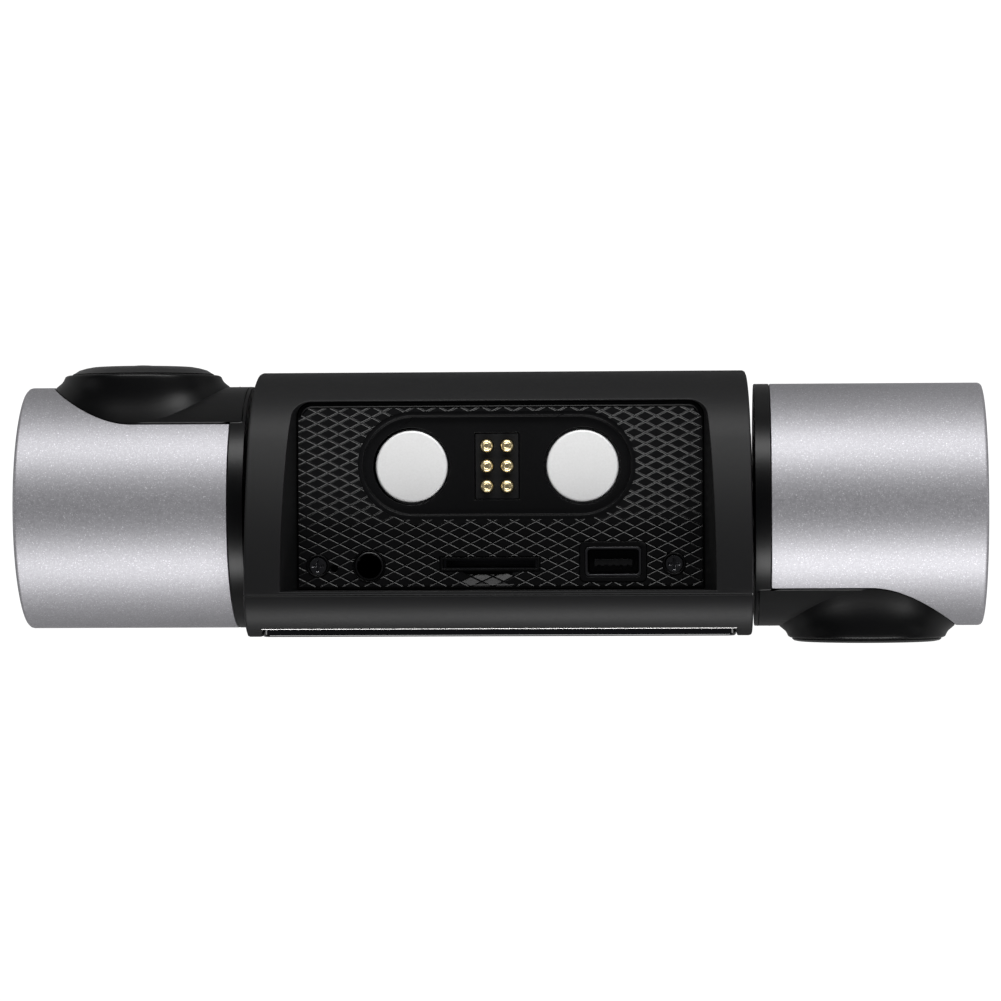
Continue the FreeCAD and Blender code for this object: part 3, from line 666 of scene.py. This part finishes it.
def panel_pads():
    """Field of lozenge pads, two interleaved grids, cut back round every opening."""
    pad = primitive("cone", vertices=4, radius1=0.94, radius2=0.81, depth=PAD_RISE,
                    location=(0, 0, FLOOR_Z - PAD_RISE / 2))
    choose(pad, lambda co: co.z < FLOOR_Z - PAD_RISE / 2)
    bpy.ops.mesh.extrude_region_move(TRANSFORM_OT_translate={"value": (0, 0, -0.2)})
    bpy.ops.mesh.select_all(action="SELECT")
    bpy.ops.transform.resize(value=(PAD_X / 2, PAD_Y / 2, 1), center_override=(0, 0, 0))
    bpy.ops.transform.translate(value=(PAD_START[0], PAD_START[1], 0))
    leave()
    activate(pad)
    for count, offset in ((PAD_COLUMNS, (PAD_X, 0, 0)), (PAD_ROWS, (0, -PAD_Y, 0))):
        bpy.ops.object.modifier_add(type="ARRAY")
        step = pad.modifiers[-1]
        step.count = count
        step.use_relative_offset = False
        step.use_constant_offset = True
        step.constant_offset_displace = offset
        bpy.ops.object.modifier_apply(modifier=step.name)
    between = copy(pad)
    choose(between, lambda co: True)
    bpy.ops.transform.translate(value=(PAD_X / 2, -PAD_Y / 2, 0))
    leave()
    field = join([pad, between])
    for point, normal in (((-FIELD_X, 0, 0), (-1, 0, 0)), ((FIELD_X, 0, 0), (1, 0, 0)),
                          ((0, FIELD_REAR, 0), (0, -1, 0)), ((0, FIELD_FRONT, 0), (0, 1, 0))):
        trim(field, point, normal)
    for x in (-1, 1):
        trim(field, (x * (FIELD_X - 0.75), FIELD_FRONT - 0.55, 0), (x, 1, 0))
    high = FLOOR_Z + 1
    carve(field, stadium(POCKET_L + 0.45, POCKET_W + 0.45, 9, high, BRACKET_X, POCKET_Y),
          rod("Z", 2.1, 9, high, JACK_AT), usb_frame(0.7, 9, high, 0.8), card_hole(0.45, 9, high),
          rod("Z", 0.6, 9, high, RESET_AT, 32))
    for x, y in SCREWS:
        carve(field, rod("Z", 1.5, 9, high, (x, y), 64))
    choose(field, lambda co: abs(co.x - RELIEF_X) < 3.0 and -9.9 < co.y < CARD_AT[1])
    bpy.ops.transform.rotate(value=math.radians(RELIEF_TILT), orient_axis="X",
                             center_override=(RELIEF_X, -9.9, FLOOR_Z))
    leave()
    settle(field, "panel_pads", "root", PANEL_BLACK, smooth=20)


def panel_fixings():
    made = []
    for x, y in SCREWS:
        head = rod("Z", 1.15, FLOOR_Z - 1.05, FLOOR_Z - 0.2, (x, y), 64)
        soften(head, 0.18, 4)
        for turn in (0, 1):
            wide, narrow = (0.72, 0.15) if turn else (0.15, 0.72)
            slot = block(x - wide, x + wide, y - narrow, y + narrow, FLOOR_Z - 0.75, FLOOR_Z)
            carve(head, slot)
        add(head, rod("Z", 0.7, FLOOR_Z - 5.6, FLOOR_Z - 1.0, (x, y), 32))
        soften(head, 0.03, 1, 50)
        made.append(head)
    settle(join(made), "panel_fixings", "root", SCREW_BLACK, ["panel_screws"])


def magnet_discs():
    top = FLOOR_Z - 1.02
    made = []
    for x in MAGNETS:
        disc = rod("Z", MAGNET_R, top - 3, top, (x, CONTACT_Y), 128)
        choose(disc, lambda co: co.z > top - 0.1)
        bpy.ops.mesh.bevel(offset=0.3, segments=4, affect="EDGES")
        leave()
        made.append(disc)
    settle(join(made), "magnet_discs", "root", NICKEL, ["magnets"])


def contact_places():
    return [(BRACKET_X + (column - 0.5) * PIN_PITCH, CONTACT_Y + (1 - row) * PIN_PITCH)
            for row in range(3) for column in range(2)]


def contacts():
    top = FLOOR_Z - 1.15
    body = block(BRACKET_X - 2.72, BRACKET_X + 2.72, CONTACT_Y - 4.12, CONTACT_Y + 4.12, 4.9, top)
    round_edges(body, 0.12, 2, level_with(top))
    for place in contact_places():
        carve(body, rod("Z", 0.9, 5.4, top + 1, place, 32))
    settle(body, "contact_block", "root", PART_BLACK, ["pin_block"])
    for number, (x, y) in enumerate(contact_places(), 1):
        pin = rod("Z", 0.8, 6.3, 9.9, (x, y), 40)
        choose(pin, lambda co: co.z > 9.8)
        bpy.ops.mesh.bevel(offset=0.42, segments=5, affect="EDGES")
        leave()
        choose(pin, lambda co: co.z > 9.89)
        bpy.ops.mesh.inset(thickness=0.08, depth=-0.05)
        leave()
        settle(pin, "contact_pin_%d" % number, "contact_%d" % number, GOLD,
               ["pogo_pin_%d" % number])


def sockets():
    x, y = JACK_AT
    high = FLOOR_Z - 0.05
    jack = rod("Z", 1.85, FLOOR_Z - 9.6, high, (x, y), 64)
    add(jack, block(x - 2.0, x + 2.6, y - 2.2, y + 2.2, FLOOR_Z - 9.6, FLOOR_Z - 2.5))
    carve(jack, rod("Z", 1.3, FLOOR_Z - 9.0, FLOOR_Z + 1, (x, y), 64))
    round_edges(jack, 0.26, 4, level_with(high))
    settle(jack, "jack_ring", "root", LENS_BLACK, ["av_jack"])
    x, y = USB_AT
    rim = usb_frame(-0.05, high - 7.2, high, 0.5)
    carve(rim, usb_frame(-0.35, high - 6.8, high + 1, 0.4))
    soften(rim, 0.09, 2, 50)
    # The USB rim is in darkened steel: painted shade inside the opening.
    settle(rim, "usb_rim", "root", PAINTED_SHADE_STEEL, ["usb_shell"])
    tab = block(x - 2.4, x + 2.4, y - 0.55, y + 0.35, FLOOR_Z - 6.8, FLOOR_Z - 1.1)
    soften(tab, 0.1, 2)
    for place in range(5):
        left = x - 2.05 + 0.92 * place
        carve(tab, block(left, left + 0.42, y - 0.7, y - 0.4, FLOOR_Z - 6.7, FLOOR_Z))
    # The wide black block at the foot of the tab covers the floor of the opening so it shows dark: painted shade.
    add(tab, block(x - 3.0, x + 3.0, y - 1.35, y + 1.35, FLOOR_Z - 6.75, FLOOR_Z - 3.4))
    settle(tab, "usb_tab", "root", PART_BLACK, ["usb_tongue"])


def key_caps():
    low = BOTTOM_Z + 0.1
    for number, x in enumerate(KEY_X, 1):
        cap = block(x - 4.0, x + 4.0, KEY_Y - 1.5, KEY_Y + 1.5, low, BOTTOM_Z + WALL + 0.2)
        round_edges(cap, 0.25, 4, upright)
        round_edges(cap, 0.25, 4, level_with(low))
        add(cap, block(x - 4.7, x + 4.7, KEY_Y - 2.2, KEY_Y + 2.2, BOTTOM_Z + WALL + 0.05,
                       BOTTOM_Z + WALL + 0.6))
        settle(cap, "key_cap_%d" % number, "control_key_%d" % number, BODY_BLACK,
               ["key_%d" % number])


# ---- camera drums ---------------------------------------------------------------------------

DRUM_R, RING_X, SLEEVE_X, END_X, LENS_X = 15.35, 31.75, 33.7, 60.5, 46.0
BOSS_R, LINER_R, HOLLOW_R = 11.1, 14.2, 12.9
LENS_TUBE_R, PIVOT_R, LEAD_HOLE_R = 7.05, 5.0, 3.4
SHOULDER_R, SHOULDER_Y = 9.8, -16.85


def window_tool(radius, depth):
    slot = block(RING_X - 1, LENS_X, -depth, 0, -radius, radius)
    return add(slot, rod("Y", radius, -depth, 0, (LENS_X, 0), 128))


def drum_tube(radius, start, end, vertices=192):
    return rod("X", radius, start, end, (0, 0), vertices)


def sleeve():
    cup = drum_tube(DRUM_R, SLEEVE_X + 0.07, END_X)
    round_edges(cup, 0.5, 3, lambda a, b: a.x > END_X - 0.01 and b.x > END_X - 0.01)
    carve(cup, drum_tube(DRUM_R - 1.1, SLEEVE_X - 1, END_X - 1.6), window_tool(BOSS_R + 0.14, 30))
    return soften(cup, 0.12, 2, 40)


def boss():
    """Collar round the lens: its foot lies on the drum, its shoulder is a flat circle."""
    foot = primitive("circle", vertices=128, radius=BOSS_R, location=(LENS_X, -17.5, 0),
                     rotation=(math.pi / 2, 0, 0))
    activate(foot)
    bpy.ops.object.modifier_add(type="SHRINKWRAP")
    step = foot.modifiers[-1]
    drum = drum_tube(DRUM_R - 0.02, RING_X, END_X)
    step.target = drum
    step.wrap_method = "PROJECT"
    step.use_project_x, step.use_project_y, step.use_project_z = False, True, False
    step.use_negative_direction, step.use_positive_direction = False, True
    activate(foot)
    bpy.ops.object.modifier_apply(modifier=step.name)
    bpy.data.objects.remove(drum)
    shoulder = primitive("circle", vertices=128, radius=SHOULDER_R, location=(LENS_X, SHOULDER_Y, 0),
                         rotation=(math.pi / 2, 0, 0))
    wall = join([foot, shoulder])
    choose(wall, lambda co: True)
    bpy.ops.mesh.bridge_edge_loops(number_cuts=8, smoothness=0.0, interpolation="LINEAR",
                                   profile_shape_factor=-0.018)
    leave()
    return wall


def on_shoulder(co):
    return co.y < SHOULDER_Y + 0.01 and abs(math.hypot(co.x - LENS_X, co.z) - SHOULDER_R) < 0.02


def shroud():
    """The drum's black core with its lens tube and hollow pivot, and the collar round the lens."""
    ring = drum_tube(DRUM_R, RING_X, SLEEVE_X)
    under_boss = keep_within(drum_tube(DRUM_R, RING_X + 0.5, END_X - 3), window_tool(BOSS_R, 30))
    liner = drum_tube(LINER_R, RING_X + 0.5, END_X - 1.9)
    add(ring, liner, under_boss)
    carve(ring, drum_tube(HOLLOW_R, RING_X + 1.5, END_X), rod("Y", LENS_TUBE_R, -30, 5, (LENS_X, 0)),
          drum_tube(LEAD_HOLE_R, 20, RING_X + 2, 64))
    tunnel = carve(rod("Y", 9.4, -14.6, -0.9, (LENS_X, 0)), rod("Y", LENS_TUBE_R, -30, 5, (LENS_X, 0)))
    pivot = carve(drum_tube(PIVOT_R, 26.0, RING_X + 0.5, 64), drum_tube(LEAD_HOLE_R, 20, RING_X + 2, 64))
    add(ring, tunnel, pivot)
    soften(ring, 0.12, 2, 40)
    collar = boss()
    choose(collar, lambda co: co.y < SHOULDER_Y + 0.01 and math.hypot(co.x - LENS_X, co.z) < SHOULDER_R + 0.1)
    bpy.ops.mesh.extrude_region_move(TRANSFORM_OT_translate={"value": (0, 0, 0)})
    bpy.ops.transform.resize(value=(LENS_TUBE_R / SHOULDER_R, 1, LENS_TUBE_R / SHOULDER_R),
                             center_override=(LENS_X, SHOULDER_Y, 0))
    bpy.ops.mesh.extrude_region_move(TRANSFORM_OT_translate={"value": (0, 2.5, 0)})
    leave()
    round_edges(collar, 0.3, 4, lambda a, b: on_shoulder(a) and on_shoulder(b))
    return ring, collar


def road_bezel():
    return turned([(7.0, 16.87), (8.9, 16.87), (9.0, 17.0), (8.7, 17.15), (8.15, 17.5), (7.3, 17.75),
                   (6.4, 17.92), (5.9, 17.95), (5.6, 17.8), (5.5, 17.5), (5.15, 17.45), (5.1, 17.15),
                   (4.95, 17.1), (4.9, 16.57), (7.0, 16.57)], LENS_X)


def cabin_bezel():
    return turned([(7.0, 16.87), (9.4, 16.87), (9.45, 17.0), (9.2, 17.2), (8.7, 17.3), (8.35, 17.28),
                   (8.3, 16.97), (6.0, 16.97), (6.0, 16.57), (7.0, 16.57)], LENS_X)


def glass_cap(radius, edge, top, thickness):
    """Front glass, bulging from its edge to its top."""
    rise = top - edge
    ball = (radius ** 2 + rise ** 2) / (2 * rise)
    face = []
    for index in range(13):
        reach = radius * (12 - index) / 12
        face.append((reach, top - ball + math.sqrt(ball ** 2 - reach ** 2)))
    return turned([(radius, edge - thickness)] + face + [(0.0, edge - thickness)], LENS_X)


def barrel():
    """Lens tube with stepped baffles behind the front glass."""
    return turned([(7.0, 2.4), (7.0, 16.5), (5.5, 16.5), (5.4, 15.0), (4.2, 14.8), (4.2, 14.2),
                   (4.8, 14.0), (4.2, 13.4), (4.2, 7.7), (4.7, 7.7), (4.7, 3.3), (3.0, 3.3), (3.0, 2.4)],
                  LENS_X)


def drums():
    """Both drums: shared parts are copied and turned round for the left end, lens parts are its own."""
    right_ring, right_collar = shroud()
    parts = {"drum_cover": (sleeve(), "drum_silver", SILVER, ["sleeve"]),
             "drum_core": (right_ring, "body_black", RING_BLACK, ["shroud"]),
             "lens_boss": (right_collar, "body_black", RING_BLACK, []),
             "barrel": (barrel(), "lens_black", LENS_BLACK, ["lens_barrel"])}
    for side in ("left", "right"):
        own = dict(parts)
        if side == "left":
            own["bezel"] = (road_bezel(), "lens_black", LENS_BLACK, ["lens_bezel"])
            own["glass"] = (glass_cap(4.88, 17.15, 18.2, 0.5), "lens_glass", LENS_GLASS, ["lens_glass"])
        else:
            own["bezel"] = (cabin_bezel(), "lens_black", LENS_BLACK, ["lens_bezel"])
            own["glass"] = (glass_cap(8.25, 17.1, 17.4, 0.12), "lens_glass", LENS_GLASS, ["lens_glass"])
        for name, (piece, slot, finish, nodes) in own.items():
            if side == "left":
                piece = turn_round(copy(piece) if name in parts else piece)
            settle(piece, "%s_%s" % (side, name), side + "_drum", finish,
                   ["%s_%s" % (side, n) for n in nodes])


front_half, rear_half = outer_bars()
housing_shell(front_half)
cover_shell(rear_half)
display_window()
seat_panel()
panel_pads()
panel_fixings()
magnet_discs()
contacts()
sockets()
key_caps()
drums()


# ---- camera, floor and light ----------------------------------------------------------------

def aim(thing, target):
    thing.rotation_euler = (Vector(target) - thing.location).to_track_quat("-Z", "Y").to_euler()


CAMERA_DISTANCE = 0.525
CAMERA_TILT = math.radians(2.6)
CAMERA_ROLL = math.radians(0.27)
FOCAL_MM = 148.3
SENSOR_MM = 36.0
CAMERA_SHIFT = (-0.0032, 0.0055)
LAMP_DISTANCE = 0.9


def set_camera():
    """Straight above the bracket seat, swung a little towards the cabin camera's end."""
    data = bpy.data.cameras.new("view")
    camera = bpy.data.objects.new("view", data)
    bpy.context.scene.collection.objects.link(camera)
    data.lens = FOCAL_MM
    data.sensor_width = SENSOR_MM
    data.clip_start = 0.01
    data.shift_x, data.shift_y = CAMERA_SHIFT
    back = Vector((math.sin(CAMERA_TILT), 0.0, math.cos(CAMERA_TILT)))
    right = Vector((math.cos(CAMERA_TILT), 0.0, -math.sin(CAMERA_TILT)))
    up = back.cross(right)
    turn = Matrix.Rotation(-CAMERA_ROLL, 3, back)
    right, up = turn @ right, turn @ up
    camera.matrix_world = Matrix.Translation(AXIS + back * CAMERA_DISTANCE) @ Matrix(
        (right, up, back)).transposed().to_4x4()
    bpy.context.scene.camera = camera


def pale_floor():
    bpy.ops.object.select_all(action="DESELECT")
    bpy.ops.mesh.primitive_plane_add(size=6.0, location=(0, 0, -0.0002))
    floor = bpy.context.object
    floor.name = "floor"
    made, g = material("pale_floor")
    seen = g.add("ShaderNodeLightPath", {}, {}, "Is Camera Ray")
    white = g.add("ShaderNodeEmission", {}, {"Color": rgb(1, 1, 1), "Strength": 1.1})
    paper = g.add("ShaderNodeBsdfDiffuse", {}, {"Color": rgb(0.35, 0.35, 0.35)})
    mixed = g.add("ShaderNodeMixShader", {}, {0: seen * 0.97, 1: paper, 2: white})
    g.add("ShaderNodeOutputMaterial", {}, {"Surface": mixed})
    floor.data.materials.append(made)


def soft_box(name, azimuth, height_angle, size, power, shift=0.0):
    """Area light aimed at the bar, then moved by shift in X.

    The azimuth is 0 on the +Y side and 90 on the +X side; the height angle is from the floor.
    """
    data = bpy.data.lights.new(name, "AREA")
    data.shape = "RECTANGLE"
    data.size, data.size_y = size
    data.energy = power
    lamp = bpy.data.objects.new(name, data)
    bpy.context.scene.collection.objects.link(lamp)
    around, up = math.radians(azimuth), math.radians(height_angle)
    lamp.location = AXIS + LAMP_DISTANCE * Vector(
        (math.sin(around) * math.cos(up), math.cos(around) * math.cos(up), math.sin(up)))
    aim(lamp, AXIS)
    lamp.location.x += shift


def set_world(strength):
    world = bpy.data.worlds.new("studio")
    bpy.context.scene.world = world
    world.use_nodes = True
    g = Graph(world.node_tree)
    sky = g.add("ShaderNodeBackground", {}, {"Color": rgb(0.9, 0.92, 1.0), "Strength": strength})
    g.add("ShaderNodeOutputWorld", {}, {"Surface": sky})


set_camera()
pale_floor()
soft_box("road_strip", 0, 34, (1.2, 0.3), 8.7, shift=0.14)
soft_box("cabin_strip", 180, 34, (1.1, 0.3), 8.9, shift=0.14)
soft_box("left_box", 270, 14, (0.35, 0.3), 0.8)
soft_box("right_box", 90, 14, (0.35, 0.3), 0.8)
set_world(0.03)
bpy.context.scene.view_settings.view_transform = "Standard"
